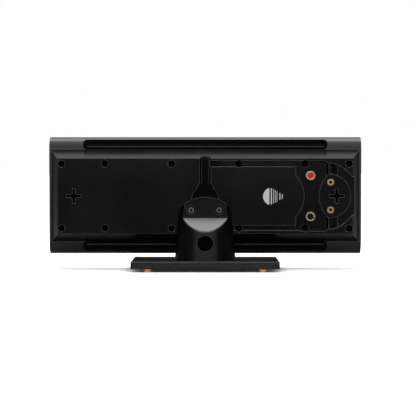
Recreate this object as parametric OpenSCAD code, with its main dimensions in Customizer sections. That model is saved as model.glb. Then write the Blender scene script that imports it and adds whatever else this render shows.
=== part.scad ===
// On-wall speaker on a table stand, seen from the back in its usual pose.
// The front faces -Y, the origin is on the table under the middle of the base.

/* [Body] */
// Width of the body from end to end
body_w = 432; // [424:1:440]
// Height of the body
body_h = 162; // [160:0.5:164]
// Depth from the grille to the flat back panel
body_d = 61; // [60:0.5:63]
// Thickness of the moulded walls
wall = 3; // [2.6:0.1:3.2]

/* [Stand] */
// Width of the base plate
base_w = 200; // [180:1:230]
// Depth of the base plate
base_d = 120; // [118:1:130]
// Thickness of the base plate
base_t = 10; // [9:0.5:11]
// Height of the feet under the base plate
foot_h = 4.5; // [4:0.5:6]
// Free height between the base plate and the body
body_gap = 6; // [5:0.5:8]

/* [Drivers] */
// Distance of each woofer's axis from its end of the body
woofer_inset = 121; // [120:0.5:122]
// Cone travel each way
cone_travel = 3; // [1:0.5:3]

/* [Mounting] */
// Spacing of the threaded inserts
insert_pitch = 38; // [37:0.5:39]
// Radius of the insert's threaded hole
insert_r = 2.1; // [1.9:0.05:2.2]

/* [Binding posts] */
// Distance of each post above or below the middle
post_zr = 28; // [26:0.5:29]
// Diameter of the metal knob
knob_d = 13; // [12:0.5:13.5]

/* [Hidden] */
$fn = 64;
eps = 0.01;

// Heights and depths of the body
base_top = foot_h + base_t;
body_zc = base_top + body_gap + body_h / 2;
half_w = body_w / 2;
half_h = body_h / 2;
woofer_x = half_w - woofer_inset;
panel_y = 17;
front_y = panel_y - body_d;
seam_y = -18;
cover_half_w = half_w - 3.2;
cover_half_h = half_h - 17.7;
band_r = half_h - cover_half_h;
band_y = seam_y - band_r;
taper_w = 10.8;
taper_h = 11.3;
panel_half_w = cover_half_w - taper_w;
panel_half_h = cover_half_h - taper_h;
edge_cut = 0.9;

// The neck's two screws set the height of their inserts in the cover
neck_screw_h = 68.2;
neck_screw_z = base_top + neck_screw_h;
stand_insert_zr = neck_screw_z - body_zc;

// Front of the cabinet, from the cloth back to the baffle
baffle_front_y = front_y + 4;
baffle_y = baffle_front_y + wall;
rim_t = 3.5;
ledge_w = 5;
ledge_t = 3;
grille_rib_x = [-half_w + 66, -40, 40, half_w - 66];
grille_rib_w = 6;
grille_rim_w = 9;
cloth_t = 0.6;
grille_gap = 0.3;

// Long slots in the top and bottom bands
slot_half = half_w - 47;
slot_rim = 3.7;
slot_corner_r = 5;
slot_mid_zr = (cover_half_h + half_h - slot_rim) / 2;
slot_h = half_h - slot_rim - cover_half_h;
rail_t = 3;
rail_y = seam_y - 6.5;
rail_half = slot_half - 5;
notch_x = slot_half - 24.5;
notch_w = 5;
notch_d = 2;

// Hollows in the solid corners beyond the slots, open to the front
core_w = 36;
core_h = 10;
core_x = half_w - 24;
core_zr = half_h - 11;
core_back_y = baffle_front_y + 8;

// Cover screws in their deep wells
screw_x = [46, half_w - 79, half_w - 20];
screw_zr = half_h - 37;
well_r = 5;
well_wall = 2.2;
well_floor_y = -4;
well_end_y = well_floor_y - 3;
post_r = 4.5;
screw_r = 1.5;
screw_clear = 0.1;
screw_len = 18;

// Cable grooves in the cover
groove_floor_y = 8.5;
groove_top_w = 15.7;
groove_low_w = 10;
groove_skin = 2.4;
bulb_r = 18.5;
bulb_zr = stand_insert_zr + 13.8;
flare_zr = bulb_zr + 23;
flare_angle = 15;
label_r = half_h - 41;
label_x = 0.4 - woofer_x;
label_edge_x = -8;
top_groove = [label_r, label_r + 8.5];
low_groove = [-label_r - 7, -label_r];

// Terminal recess and the lens-shaped island beside it
recess_in_x = 93 - half_w;
recess_out_x = 47 - half_w;
recess_half = half_h - 33;
recess_floor_y = -1;
recess_corner_r = 8;
lens_x = 20.8 - half_w;
lens_r = 40;
lens_cap_x = 47.2 - half_w;
lens_cap_r = 30;
exit_half = 25.5;
exit_floor_y = 9;
channel_w = 4;
channel_y = 4;
yard_x = 54 - half_w;
yard_r = half_h - 34.5;
blend_r = 9;
blend_zr = exit_half + blend_r;
blend_x = yard_x - sqrt(pow(yard_r + blend_r, 2) - pow(blend_zr, 2));

// Keyholes and inserts
keyhole_x = half_w - 36.8;
keyhole_half = 10;
keyhole_w = 4;
keyhole_r = 4;
keyhole_room_r = 11.5;
keyhole_room_y = 7;
insert_x = 45 - half_w;
insert_outer_r = 4.5;
insert_len = 11;
boss_wall = 2.4;

// Woofer, from its flange back to the pole plate
flange_out_r = cover_half_h - wall - 4.8;
flange_in_r = flange_out_r - 5;
flange_t = 2.5;
flange_y = baffle_y + flange_t;
basket_low_y = -8;
basket_low_r = flange_in_r - 13;
basket_t = 1.8;
basket_plate_t = 3;
plate_r = 34;
plate_y = basket_low_y + basket_plate_t;
plate_t = 4;
magnet_r = 36;
magnet_y = plate_y + plate_t;
magnet_t = 9;
magnet_hole_r = 18;
yoke_y = magnet_y + magnet_t;
yoke_t = 4;
pole_r = 12;
gap_r = 13.6;
former_in_r = 12.4;
former_out_r = 12.7;
coil_out_r = 13.2;
former_front_y = baffle_y + 14;
coil_front_y = plate_y - cone_travel;
coil_back_y = magnet_y + cone_travel;
former_back_y = coil_back_y;
cone_edge_r = flange_in_r - 8.5;
cone_edge_y = baffle_y + 1;
cone_t = 0.8;
surround_t = 0.8;
surround_foot = 1.5;
cap_out_r = 14.6;
cap_t = 0.7;
cap_in_r = cap_out_r - cap_t;
cap_h = 5;
cap_y = former_front_y - 1;
spider_y = plate_y - 9;
spider_out_r = 34;
spider_roll_r = 31;
spider_t = 0.6;
shelf_y = spider_y + spider_t;
woofer_bolt_r = flange_out_r - 2.5;
woofer_bolt_len = 4.6;
woofer_bolt_shank = 1.4;

// Tweeter, in the same order
horn_r = 33;
horn_mouth_r = 29;
horn_throat_r = 14;
horn_throat_y = baffle_y + 9;
tweeter_plate_r = 26;
tweeter_plate_t = 3;
tweeter_magnet_t = 9;
tweeter_yoke_t = 3;
tweeter_pole_r = 11.6;
tweeter_gap_r = 13.2;
dome_r = 12.5;
dome_h = 5;
tweeter_bolt_r = 30.6;

// Crossover board on posts inside the cover
board_x = [half_w - 60, half_w - 13];
board_half = half_h - 48;
board_y = -4;
board_t = 1.6;
board_post_x = [board_x[0] + 5, board_x[1] - 20];
board_post_zr = board_half - 5;
board_post_r = 3.5;
board_screw_head_r = 2.8;
board_screw_head_t = 2;
board_screw_len = 12;

// Chokes and capacitors on the board
choke_x = board_x[0] + 16;
choke_zr = [12, -14];
choke_r = 11;
choke_core_r = 9.5;
choke_hole_r = 4;
choke_h = 10;
choke_flange_t = 1;
capacitor_x = board_x[0] + 34;
capacitor_zr = [16, 0, -16];
capacitor_r = [6.3, 5, 6.3];
capacitor_len = 14;

// Wadding strips inside the cover
pad_y = 6;
pad_zr = panel_half_h - 9.5;
pad_w = 64;
pad_h = 9;

// Binding posts
post_x = 72.3 - half_w;
cup_t = 4;
cup_y = recess_floor_y + cup_t;
cup_gap = 1.6;
stud_r = 2;
knob_y = cup_y + 3.2;
knob_len = 9.8;
knob_seat = 5.8;
cap_clear = 0.3;
stud_tail = 9;
cap_r = 4.6;
thread_clear = 0.05;
post_washer_t = 0.8;
post_washer_r = 6;
nut_t = 3;

// Neck, a half cone with an arched top
neck_low_r = 41.5;
neck_high_r = 35;
neck_side_h = 74.5;
neck_high_z = base_top + neck_side_h;
neck_h = 86.1;
neck_top_z = base_top + neck_h;
arch_r = 47.5;
neck_wall = 4;
neck_head_d = 21;
neck_back_y = panel_y + neck_head_d;
neck_step_h = 57.8;
neck_step_z = base_top + neck_step_h;
neck_screw_x = insert_pitch / 2;
neck_well_r = 6;
neck_well_y = 33;
cable_hole_r = 10.85;
cable_hole_h = 24;
cable_hole_z = base_top + cable_hole_h;
window_low_h = 37.5;
window_low_z = base_top + window_low_h;
window_high_h = 81.5;
window_high_z = base_top + window_high_h;
window_half = 10.5;
plate_depth = 1.2;

// Base plate
base_corner_r = 3;
base_edge = 1;
foot_r = 5.5;
foot_inset = 22.5;
foot_inset_y = 11;
base_bolt_x = 26;
base_bolt_y = 30;
base_bolt_r = 2;
base_bolt_len = 11;
base_boss_r = 5;
base_seat_z = foot_h + 4;
base_head_t = 2.4;

// Places an outline drawn as width and height over the middle from y0 to y1
module across_y(y0, y1) {
    translate([0, y1, body_zc]) rotate([90, 0, 0]) linear_extrude(y1 - y0) children();
}

// Places a section drawn as depth and height over the middle from x0 to x1
module along_x(x0, x1) {
    translate([x0, 0, body_zc]) rotate([90, 0, 90]) linear_extrude(x1 - x0) children();
}

// Places a plan drawn as width and depth from one height over the middle to another
module upward(zr0, zr1) {
    translate([0, 0, body_zc + zr0]) linear_extrude(zr1 - zr0) children();
}

// Turns a profile of radius and depth about an axis along Y
module turned(x, zr, points) {
    translate([x, 0, body_zc + zr]) rotate([-90, 0, 0]) rotate_extrude() polygon(points);
}

// A round rod along Y
module rod(x, zr, r, y0, y1) {
    translate([x, y0, body_zc + zr]) rotate([-90, 0, 0]) cylinder(r = r, h = y1 - y0);
}

// A ring along Y
module ring(x, zr, r_out, r_in, y0, y1) {
    turned(x, zr, [[r_in, y0], [r_out, y0], [r_out, y1], [r_in, y1]]);
}

// A rectangle with round corners, centred
module round_rect(w, h, r) {
    square([w - 2 * r, h], center = true);
    square([w, h - 2 * r], center = true);
    for (sx = [-1, 1], sz = [-1, 1])
        translate([sx * (w / 2 - r), sz * (h / 2 - r)]) circle(r);
}

// A block of the body from y0 to y1
module slab(half_x, half_z, y0, y1) {
    across_y(y0, y1) square([2 * half_x, 2 * half_z], center = true);
}

// A block centred on a point of the body from y0 to y1
module slab_at(x, zr, half_x, half_z, y0, y1) {
    translate([x, 0, zr]) slab(half_x, half_z, y0, y1);
}

// Repeats its children at the twelve cover screws
module at_cover_screws() {
    for (sx = [-1, 1], sz = [-1, 1], x = screw_x)
        translate([sx * x, 0, sz * screw_zr]) children();
}

// Repeats its children at the four posts of the crossover board
module at_board_posts() {
    for (sz = [-1, 1], x = board_post_x)
        translate([x, 0, sz * board_post_zr]) children();
}

// Section of the front cabinet, square in front and rounded towards the back
module cabinet_section() {
    translate([front_y, -half_h]) square([band_y - front_y, body_h]);
    translate([front_y, -cover_half_h]) square([seam_y - front_y, 2 * cover_half_h]);
    intersection() {
        translate([front_y, -half_h]) square([seam_y - front_y, body_h]);
        for (s = [-1, 1]) translate([band_y, s * cover_half_h]) circle(band_r);
    }
}

// One long slot, open to the back, with deeper middle and stepped ends
module slot_cut(side) {
    across_y(baffle_y, seam_y + 1) translate([0, side * slot_mid_zr])
        round_rect(2 * rail_half, slot_h, slot_corner_r);
    across_y(rail_y - 4, seam_y + 1) translate([0, side * slot_mid_zr])
        round_rect(2 * slot_half, slot_h, slot_corner_r);
}

// Rail along one slot, with its three notches
module slot_rail(side) {
    difference() {
        across_y(baffle_y - eps, rail_y) translate([0, side * (cover_half_h + 5.2)])
            square([2 * rail_half + 2, rail_t], center = true);
        for (x = [-notch_x, 0, notch_x])
            translate([x - notch_w / 2, rail_y - notch_d, body_zc + side * (cover_half_h + 5.2) - rail_t])
                cube([notch_w, notch_d + 1, 2 * rail_t]);
    }
}

module front_cabinet() {
    color([0.16, 0.16, 0.17]) difference() {
        union() {
            difference() {
                along_x(-half_w, half_w) cabinet_section();
                slab(half_w - rim_t, half_h - rim_t, front_y - 1, baffle_front_y);
                slab(half_w - wall, cover_half_h - wall, baffle_y, seam_y - ledge_t);
                slab(cover_half_w - ledge_w, cover_half_h - ledge_w, baffle_y, seam_y + 1);
                for (side = [-1, 1]) slot_cut(side);
                for (sx = [-1, 1], sz = [-1, 1]) translate([sx * core_x, 0, sz * core_zr])
                    slab(core_w / 2, core_h / 2, baffle_front_y - 1, core_back_y);
            }
            for (side = [-1, 1]) slot_rail(side);
            at_cover_screws() rod(0, 0, post_r, baffle_y - eps, well_end_y);
        }
        for (s = [-1, 1]) rod(s * woofer_x, 0, flange_in_r, front_y, flange_y);
        rod(0, 0, horn_mouth_r, front_y, flange_y);
        at_cover_screws() rod(0, 0, screw_r + screw_clear, well_floor_y - screw_len - 1, well_end_y + 1);
        for (s = [-1, 1], a = [0:90:270])
            translate([s * woofer_x + woofer_bolt_r * cos(a), 0, woofer_bolt_r * sin(a)])
                rod(0, 0, woofer_bolt_shank + screw_clear, baffle_front_y + 0.6, baffle_y + 1);
        for (a = [45:90:315])
            translate([tweeter_bolt_r * cos(a), 0, tweeter_bolt_r * sin(a)])
                rod(0, 0, woofer_bolt_shank + screw_clear, baffle_front_y + 0.6, baffle_y + 1);
        gasket_ring(0);
    }
}

// Foam ring under the rim of the cover, let into the cabinet's ledge
module gasket_ring(extra) {
    difference() {
        slab(cover_half_w - 0.8, cover_half_h - 0.8, seam_y - 1.2, seam_y + extra);
        slab(cover_half_w - 2.2, cover_half_h - 2.2, seam_y - 2, seam_y + 1);
    }
}

module cover_gasket() {
    color([0.1, 0.1, 0.1]) gasket_ring(0);
}

// Tapered block of the cover, smaller by its skin all round
module cover_block(skin) {
    back = panel_y - skin;
    low = skin > 0 ? seam_y - 1 : seam_y;
    w0 = cover_half_w - skin;
    w1 = panel_half_w - skin + taper_w * skin / (panel_y - seam_y);
    h0 = cover_half_h - skin;
    h1 = panel_half_h - skin + taper_h * skin / (panel_y - seam_y);
    cut = skin > 0 ? 0 : edge_cut;
    intersection() {
        upward(-h0, h0) polygon([[-w0, low], [w0, low], [w1, back - cut], [w1 - cut, back],
            [-w1 + cut, back], [-w1, back - cut]]);
        along_x(-w0, w0) polygon([[low, -h0], [back - cut, -h1], [back, -h1 + cut],
            [back, h1 - cut], [back - cut, h1], [low, h0]]);
    }
}

// Vertical groove, its flare and the bulb behind the neck, grown all round by a skin
module spine_outline(skin) {
    half = groove_top_w / 2 + skin;
    meet_r = 0.96 * (bulb_r + skin);
    meet_x = meet_r * cos(flare_angle);
    meet_zr = bulb_zr + meet_r * sin(flare_angle);
    translate([-half, flare_zr - 2]) square([2 * half, half_h]);
    polygon([[-half, flare_zr + skin / 2], [half, flare_zr + skin / 2],
        [meet_x, meet_zr], [-meet_x, meet_zr]]);
    translate([0, bulb_zr]) circle(bulb_r + skin);
}

// Groove above and below the label field
module side_grooves(skin) {
    for (g = [top_groove, low_groove])
        translate([recess_in_x - 12, g[0] - skin])
            square([label_edge_x - recess_in_x + 14, g[1] - g[0] + 2 * skin]);
}

// Sloped sides of the vertical groove, put back after the straight cut
module spine_slopes() {
    slope = (groove_top_w - groove_low_w) / 2;
    for (s = [-1, 1]) upward(flare_zr, panel_half_h + 1)
        polygon([[s * groove_top_w / 2, panel_y], [s * groove_low_w / 2, groove_floor_y],
            [s * (groove_low_w / 2 + slope + 1), groove_floor_y - 1], [s * (groove_top_w / 2 + 1), panel_y]]);
}

// Terminal recess between the label field and the lens, grown by a skin
module recess_outline(skin) {
    w = recess_in_x - recess_out_x;
    difference() {
        translate([(recess_in_x + recess_out_x) / 2, 0])
            round_rect(w + 2 * skin, 2 * recess_half + 2 * skin, recess_corner_r);
        translate([label_x, 0]) circle(label_r - skin);
        translate([lens_x, 0]) circle(lens_r - skin);
    }
}

// Yard round the lens and its way out at the side, grown by a skin
module yard_outline(skin) {
    touch = yard_r / (yard_r + blend_r);
    touch_x = yard_x + (blend_x - yard_x) * touch;
    touch_zr = blend_zr * touch;
    inner = (yard_r - 1.25) * cos(45);
    intersection() {
        union() {
            translate([yard_x, 0]) circle(yard_r + skin);
            difference() {
                polygon([[yard_x - inner, inner], [touch_x, touch_zr], [blend_x, blend_zr],
                    [blend_x, -blend_zr], [touch_x, -touch_zr], [yard_x - inner, -inner]]);
                for (s = [-1, 1]) translate([blend_x, s * blend_zr]) circle(blend_r - skin);
            }
            translate([-half_w - 1, -exit_half - skin])
                square([blend_x + half_w + 9.5, 2 * exit_half + 2 * skin]);
        }
        translate([-half_w - 1, -half_h]) square([half_w + 1 + recess_out_x, body_h]);
    }
}

// Lens-shaped island with the side inserts and a keyhole
module lens_outline(skin) {
    intersection() {
        translate([lens_x, 0]) circle(lens_r - skin);
        translate([lens_cap_x, 0]) circle(lens_cap_r - skin);
    }
}

// Cross-shaped keyhole, its room inside and the box around the room
module keyhole_cut(x) {
    translate([x, 0, 0]) {
        across_y(panel_y - wall - 1, panel_y + 1) square([2 * keyhole_half, keyhole_w], center = true);
        across_y(panel_y - wall - 1, panel_y + 1) square([keyhole_w, 2 * keyhole_half], center = true);
        rod(0, 0, keyhole_r, panel_y - wall - 1, panel_y + 1);
        rod(0, 0, keyhole_room_r, keyhole_room_y, panel_y - wall);
    }
}

// Closed box round the room of a keyhole
module keyhole_room(x, skin) {
    rod(x, 0, keyhole_room_r + skin, keyhole_room_y - skin, panel_y);
}

// Boss that holds a threaded insert
module insert_boss(x, zr) {
    rod(x, zr, insert_outer_r + boss_wall, panel_y - insert_len - boss_wall, panel_y);
}

module rear_cover() {
    color([0.07, 0.07, 0.075]) difference() {
        union() {
            difference() {
                cover_block(0);
                cover_block(wall);
            }
            intersection() {
                cover_block(0);
                union() {
                    across_y(groove_floor_y - groove_skin, panel_y) spine_outline(groove_skin);
                    across_y(groove_floor_y - groove_skin, panel_y) side_grooves(groove_skin);
                    across_y(recess_floor_y - groove_skin, panel_y) recess_outline(groove_skin);
                    across_y(exit_floor_y - groove_skin, panel_y) yard_outline(groove_skin);
                    channel_block(groove_skin);
                    at_cover_screws() rod(0, 0, well_r + well_wall, well_end_y, panel_y);
                    for (s = [-1, 1]) {
                        keyhole_room(s * keyhole_x, groove_skin);
                        insert_boss(insert_x, s * insert_pitch / 2);
                        insert_boss(s * insert_pitch / 2, stand_insert_zr);
                    }
                    at_board_posts() rod(0, 0, board_post_r, board_y, panel_y - 1);
                }
            }
        }
        difference() {
            across_y(groove_floor_y, panel_y + 1) spine_outline(0);
            spine_slopes();
        }
        across_y(groove_floor_y, panel_y + 1) side_grooves(0);
        difference() {
            across_y(recess_floor_y, panel_y + 1) recess_outline(0);
            recess_draft();
        }
        difference() {
            across_y(channel_y, panel_y + 1) yard_outline(0);
            across_y(0, panel_y + 2) lens_outline(0);
            yard_floor();
        }
        difference() {
            across_y(channel_y - 2 * wall, panel_y - wall) lens_outline(wall - 0.2);
            rod(-keyhole_x, 0, keyhole_room_r + groove_skin, 0, panel_y);
            for (s = [-1, 1])
                rod(insert_x, s * insert_pitch / 2, insert_outer_r + boss_wall, 0, panel_y);
        }
        at_cover_screws() {
            rod(0, 0, well_r, well_floor_y, panel_y + 1);
            rod(0, 0, screw_r + 0.4, well_end_y - 1, panel_y);
        }
        for (s = [-1, 1]) keyhole_cut(s * keyhole_x);
        for (s = [-1, 1]) {
            rod(insert_x, s * insert_pitch / 2, insert_outer_r, panel_y - insert_len, panel_y + 1);
            rod(s * insert_pitch / 2, stand_insert_zr, insert_outer_r, panel_y - insert_len, panel_y + 1);
            rod(post_x, s * post_zr, stud_r + 0.6, recess_floor_y - 5, recess_floor_y + 1);
        }
        at_board_posts() rod(0, 0, screw_r, board_y - 1, board_y + board_screw_len - 2);
    }
}

// Leaning outer wall of the terminal recess, above and below the lens
module recess_draft() {
    for (s = [-1, 1]) upward(s > 0 ? 30 : -recess_half - 1, s > 0 ? recess_half + 1 : -30)
        polygon([[recess_out_x - 1, recess_floor_y - 1], [recess_out_x + 2.2, recess_floor_y - 1],
            [recess_out_x + 2.2, recess_floor_y], [recess_out_x + 0.4, 12], [recess_out_x - 1, 12]]);
}

// Floor of the yard: a narrow channel, a ramp and a flat out to the side
module yard_floor() {
    upward(-half_h, half_h) polygon([[recess_out_x - channel_w, 0], [recess_out_x - channel_w, 6.5],
        [recess_out_x - 12, exit_floor_y + 1.5], [recess_out_x - 13, exit_floor_y],
        [-half_w - 2, exit_floor_y], [-half_w - 2, 0]]);
}

// Wall behind the narrow channel
module channel_block(skin) {
    upward(-yard_r, yard_r) translate([recess_out_x - channel_w - skin, channel_y - skin])
        square([channel_w + 2 * skin, exit_floor_y + 1 - channel_y]);
}

// A pan-head screw along Y with its head towards the back
module pan_screw(head_r, head_t, shank_r, len, seat_y, point) {
    difference() {
        turned(0, 0, [[0, seat_y - len - point], [shank_r, seat_y - len], [shank_r, seat_y],
            [head_r, seat_y], [head_r, seat_y + head_t * 0.5], [head_r * 0.72, seat_y + head_t],
            [0, seat_y + head_t]]);
        for (a = [0, 90]) translate([0, 0, body_zc]) rotate([0, a, 0])
            translate([-head_r * 0.6, seat_y + head_t * 0.45, -head_r * 0.12])
                cube([head_r * 1.2, head_t, head_r * 0.24]);
    }
}

module cover_screws() {
    color([0.12, 0.12, 0.12])
        at_cover_screws() pan_screw(3.6, 2.6, screw_r, screw_len - 2, well_floor_y, 1.5);
}

module grille_frame() {
    outer_w = half_w - rim_t - grille_gap;
    outer_h = half_h - rim_t - grille_gap;
    color([0.1, 0.1, 0.1]) difference() {
        slab(outer_w - cloth_t, outer_h - cloth_t, front_y + cloth_t, baffle_front_y);
        difference() {
            slab(outer_w - grille_rim_w, outer_h - grille_rim_w, front_y, baffle_front_y + 1);
            for (x = grille_rib_x) translate([x, 0, 0])
                slab(grille_rib_w / 2, half_h, front_y, baffle_front_y + 1);
        }
        for (s = [-1, 1]) rod(s * woofer_x, 0, flange_in_r, front_y, 0);
    }
}

module grille_cloth() {
    outer_w = half_w - rim_t - grille_gap;
    outer_h = half_h - rim_t - grille_gap;
    color([0.08, 0.08, 0.08]) difference() {
        slab(outer_w, outer_h, front_y, baffle_front_y);
        slab(outer_w - cloth_t, outer_h - cloth_t, front_y + cloth_t, baffle_front_y + 1);
    }
}

// Pressed basket: flange, sloped legs with windows, and the plate behind them
module woofer_basket(s) {
    rise = (shelf_y - basket_low_y) / (flange_y - basket_low_y);
    shelf_r = basket_low_r + (flange_in_r - basket_low_r) * rise;
    color([0.2, 0.2, 0.22]) {
        ring(s * woofer_x, 0, shelf_r - basket_t / 2, spider_roll_r, shelf_y, shelf_y + 1.4);
        basket_shell(s);
    }
}

module basket_shell(s) {
    difference() {
        turned(s * woofer_x, 0, [[flange_in_r, baffle_y], [flange_out_r, baffle_y], [flange_out_r, flange_y],
            [flange_in_r, flange_y], [basket_low_r, basket_low_y], [basket_low_r, plate_y],
            [gap_r + 1, plate_y], [gap_r + 1, basket_low_y], [basket_low_r - basket_t, basket_low_y],
            [flange_in_r - basket_t, flange_y], [flange_in_r - basket_t, cone_edge_y + 0.05],
            [flange_in_r, cone_edge_y + 0.05]]);
        for (a = [0:60:300]) translate([s * woofer_x, -22, body_zc]) rotate([0, a + 30, 0])
            translate([30, -8, -11]) cube([40, 16, 22]);
        for (a = [0:90:270]) translate([woofer_bolt_r * cos(a), 0, woofer_bolt_r * sin(a)])
            rod(s * woofer_x, 0, woofer_bolt_shank + screw_clear, baffle_y - 1, flange_y + 1);
    }
}

// Half-roll surround between the cone and the flange
module woofer_surround(s) {
    mid = (cone_edge_r + flange_in_r) / 2;
    roll = (flange_in_r - cone_edge_r) / 2 - 1;
    foot_x = cone_edge_r - surround_foot;
    color([0.06, 0.06, 0.06])
    translate([s * woofer_x, 0, body_zc]) rotate([-90, 0, 0]) rotate_extrude() {
        translate([foot_x, cone_edge_y - surround_t]) square([mid - roll - foot_x + eps, surround_t]);
        translate([mid + roll - eps, cone_edge_y - surround_t])
            square([flange_in_r - mid - roll - 0.1, surround_t]);
        difference() {
            intersection() {
                translate([mid, cone_edge_y]) circle(roll);
                translate([cone_edge_r, cone_edge_y - roll - 1]) square([20, roll + 1]);
            }
            translate([mid, cone_edge_y]) circle(roll - surround_t);
        }
    }
}

module woofer_cone(s) {
    color([0.13, 0.13, 0.14]) turned(s * woofer_x, 0,
        [[former_out_r, former_front_y], [cone_edge_r, cone_edge_y],
        [cone_edge_r, cone_edge_y + cone_t], [former_out_r, former_front_y + cone_t * 1.5]]);
}

module dust_cap(s) {
    color([0.1, 0.1, 0.1]) turned(s * woofer_x, 0,
        [for (a = [0:10:90]) [cap_out_r * sin(a), cap_y - cap_h * cos(a)],
        for (a = [90:-10:0]) [cap_in_r * sin(a), cap_y - (cap_h - cap_t) * cos(a)]]);
}

// Former with its winding in the magnetic gap
module voice_coil(s) {
    color([0.7, 0.4, 0.2]) {
        ring(s * woofer_x, 0, former_out_r, former_in_r, former_front_y, former_back_y);
        ring(s * woofer_x, 0, coil_out_r, former_out_r - eps, coil_front_y, coil_back_y);
    }
}

// Corrugated centring spider
module spider(s) {
    step = (spider_roll_r - former_out_r - 1) / 10;
    wave = [for (i = [0:10]) [former_out_r + 1 + i * step, spider_y + (i % 2 == 0 ? 0 : 1.2)]];
    color([0.75, 0.6, 0.25]) turned(s * woofer_x, 0, [[former_out_r, spider_y], each wave,
        [spider_out_r, spider_y],
        [spider_out_r, spider_y + spider_t],
        for (i = [10:-1:0]) [wave[i][0], wave[i][1] + spider_t], [former_out_r, spider_y + spider_t]]);
}

module front_plate(s) {
    color([0.6, 0.6, 0.62]) ring(s * woofer_x, 0, plate_r, gap_r, plate_y, magnet_y);
}

module magnet(s) {
    color([0.2, 0.2, 0.22]) ring(s * woofer_x, 0, magnet_r, magnet_hole_r, magnet_y, yoke_y);
}

module pole_plate(s) {
    color([0.6, 0.6, 0.62]) {
        rod(s * woofer_x, 0, plate_r, yoke_y, yoke_y + yoke_t);
        rod(s * woofer_x, 0, pole_r, plate_y, yoke_y + eps);
    }
}

module woofer_screws() {
    color([0.1, 0.1, 0.1]) for (s = [-1, 1], a = [0:90:270])
        translate([s * woofer_x + woofer_bolt_r * cos(a), 0, woofer_bolt_r * sin(a)])
            pan_screw(2.4, 1.8, woofer_bolt_shank, woofer_bolt_len, flange_y, 0);
}

// Flared horn plate behind the baffle
module tweeter_horn() {
    color([0.1, 0.1, 0.1]) difference() {
        turned(0, 0, [[horn_mouth_r - 0.6, baffle_y - 2], [horn_mouth_r - 0.2, baffle_y - 2],
            [horn_mouth_r - 0.2, baffle_y], [horn_r, baffle_y],
            [horn_r, flange_y], [horn_mouth_r - 1, flange_y],
            [horn_throat_r + 6, horn_throat_y], [tweeter_plate_r, horn_throat_y],
            [tweeter_plate_r, horn_throat_y + 2],
            [horn_throat_r, horn_throat_y + 2], [horn_throat_r, horn_throat_y - 0.5]]);
        for (a = [45:90:315]) translate([tweeter_bolt_r * cos(a), 0, tweeter_bolt_r * sin(a)])
            rod(0, 0, woofer_bolt_shank + screw_clear, baffle_y - 1, flange_y + 1);
    }
}

module tweeter_dome() {
    y0 = horn_throat_y + 1.6;
    color([0.5, 0.5, 0.55]) turned(0, 0, [for (a = [0:10:90]) [dome_r * sin(a), y0 - dome_h * cos(a)],
        [horn_throat_r - 0.3, y0], [horn_throat_r - 0.3, y0 + 0.4], [dome_r - 0.5, y0 + 0.4],
        for (a = [80:-10:0]) [(dome_r - 0.5) * sin(a), y0 - (dome_h - 0.5) * cos(a)]]);
}

module tweeter_coil() {
    y0 = horn_throat_y + 2;
    color([0.7, 0.4, 0.2]) ring(0, 0, dome_r + 0.3, dome_r - 0.3, y0, y0 + 4);
}

module tweeter_front_plate() {
    y0 = horn_throat_y + 2;
    color([0.6, 0.6, 0.62]) ring(0, 0, tweeter_plate_r, tweeter_gap_r, y0, y0 + tweeter_plate_t);
}

module tweeter_magnet() {
    y0 = horn_throat_y + 2 + tweeter_plate_t;
    color([0.2, 0.2, 0.22]) ring(0, 0, tweeter_plate_r, tweeter_gap_r + 3, y0, y0 + tweeter_magnet_t);
}

module tweeter_pole_plate() {
    y0 = horn_throat_y + 2 + tweeter_plate_t + tweeter_magnet_t;
    color([0.6, 0.6, 0.62]) {
        rod(0, 0, tweeter_plate_r, y0, y0 + tweeter_yoke_t);
        rod(0, 0, tweeter_pole_r, horn_throat_y + 2.2, y0 + eps);
    }
}

module tweeter_screws() {
    color([0.1, 0.1, 0.1]) for (a = [45:90:315])
        translate([tweeter_bolt_r * cos(a), 0, tweeter_bolt_r * sin(a)])
            pan_screw(2.2, 1.8, woofer_bolt_shank, woofer_bolt_len, flange_y, 0);
}

module crossover_board() {
    color([0.1, 0.35, 0.2]) difference() {
        translate([board_x[0], board_y - board_t, body_zc - board_half])
            cube([board_x[1] - board_x[0], board_t, 2 * board_half]);
        at_board_posts() rod(0, 0, screw_r + screw_clear, board_y - 3, board_y + 1);
    }
}

module crossover_coils() {
    y1 = board_y - board_t;
    y0 = y1 - choke_h;
    color([0.7, 0.4, 0.2]) for (zr = choke_zr) turned(choke_x, zr,
        [[choke_hole_r, y0], [choke_r, y0], [choke_r, y0 + choke_flange_t],
        [choke_core_r, y0 + choke_flange_t], [choke_core_r, y1 - choke_flange_t],
        [choke_r, y1 - choke_flange_t], [choke_r, y1], [choke_hole_r, y1]]);
}

module crossover_capacitors() {
    y1 = board_y - board_t;
    color([0.2, 0.25, 0.5]) for (i = [0:2])
        rod(capacitor_x, capacitor_zr[i], capacitor_r[i], y1 - capacitor_len, y1);
}

module crossover_screws() {
    seat = board_y - board_t;
    color([0.7, 0.7, 0.7]) at_board_posts() {
        rod(0, 0, screw_r - thread_clear, seat, board_y + board_screw_len - 4);
        rod(0, 0, board_screw_head_r, seat - board_screw_head_t, seat);
    }
}

// Wadding on the inside of the cover, above and below one woofer magnet
module damping_pads() {
    color([0.85, 0.85, 0.82]) for (sz = [-1, 1])
        slab_at(woofer_x, sz * pad_zr, pad_w / 2, pad_h / 2, pad_y, panel_y - wall);
}

// Hourglass plate on the recess floor
module terminal_plate() {
    color([0.06, 0.06, 0.06]) difference() {
        across_y(recess_floor_y, cup_y) recess_outline(-cup_gap);
        upward(-half_h, half_h) translate([recess_out_x - 1, recess_floor_y - 1])
            square([4.2, cup_t + 2]);
        at_cover_screws() rod(0, 0, well_r + 0.8, recess_floor_y - 1, cup_y + 1);
        for (s = [-1, 1]) rod(post_x, s * post_zr, stud_r + thread_clear, recess_floor_y - 1, cup_y + 1);
    }
}

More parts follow.
